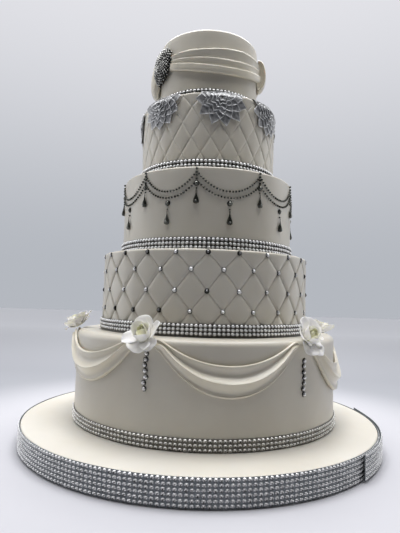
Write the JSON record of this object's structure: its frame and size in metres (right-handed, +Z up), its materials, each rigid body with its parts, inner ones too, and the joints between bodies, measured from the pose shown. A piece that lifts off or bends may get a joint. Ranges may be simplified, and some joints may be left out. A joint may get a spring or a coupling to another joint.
{
  "type": "tiered wedding cake",
  "caption": "Round tiered wedding cake in white sugar paste on an iced board, with swags, sugar roses, quilting, bead strings, silver flowers and rhinestone ribbon.",
  "frame": {"origin": "middle of the footprint, at the underside of the board", "axes": "+Z up, -Y towards the front of the cake, +X to the right of someone facing it"},
  "size_m": [0.5106, 0.5072, 0.586],
  "materials": {
    "icing": "smooth rolled sugar paste, satin",
    "board_icing": "smooth rolled sugar paste, satin",
    "draped_paste": "folded sugar paste, satin",
    "petal_paste": "thin petal paste, satin",
    "silver_paste": "sugar paste brushed with silver lustre",
    "board_mesh": "rows of bright metallised domes on a dark mesh",
    "tier_mesh": "rows of bright metallised domes on a dark mesh",
    "crystal": "foil-backed faceted crystals"
  },
  "bodies": {
    "root": {"board": "board_icing", "board_ribbon": "board_mesh", "board_ribbon_end": "board_mesh", "tier_1": "icing", "tier_2": "icing", "tier_3": "icing", "tier_4": "icing", "tier_5": "icing", "ribbon_1": "tier_mesh", "ribbon_2": "tier_mesh", "ribbon_3": "tier_mesh", "ribbon_4": "tier_mesh", "ribbon_5": "tier_mesh", "swag_1": "draped_paste", "swag_2": "draped_paste", "swag_3": "draped_paste", "swag_4": "draped_paste", "swag_5": "draped_paste", "swag_6": "draped_paste", "rose_1": "petal_paste", "rose_2": "petal_paste", "rose_3": "petal_paste", "rose_4": "petal_paste", "rose_5": "petal_paste", "rose_6": "petal_paste", "silver_flower_1": "silver_paste", "silver_flower_2": "silver_paste", "silver_flower_3": "silver_paste", "silver_flower_4": "silver_paste", "silver_flower_5": "silver_paste", "silver_flower_6": "silver_paste", "silver_flower_7": "silver_paste", "brooch": "crystal", "drape_front": "draped_paste", "drape_back": "draped_paste"}
  },
  "joints": []
}
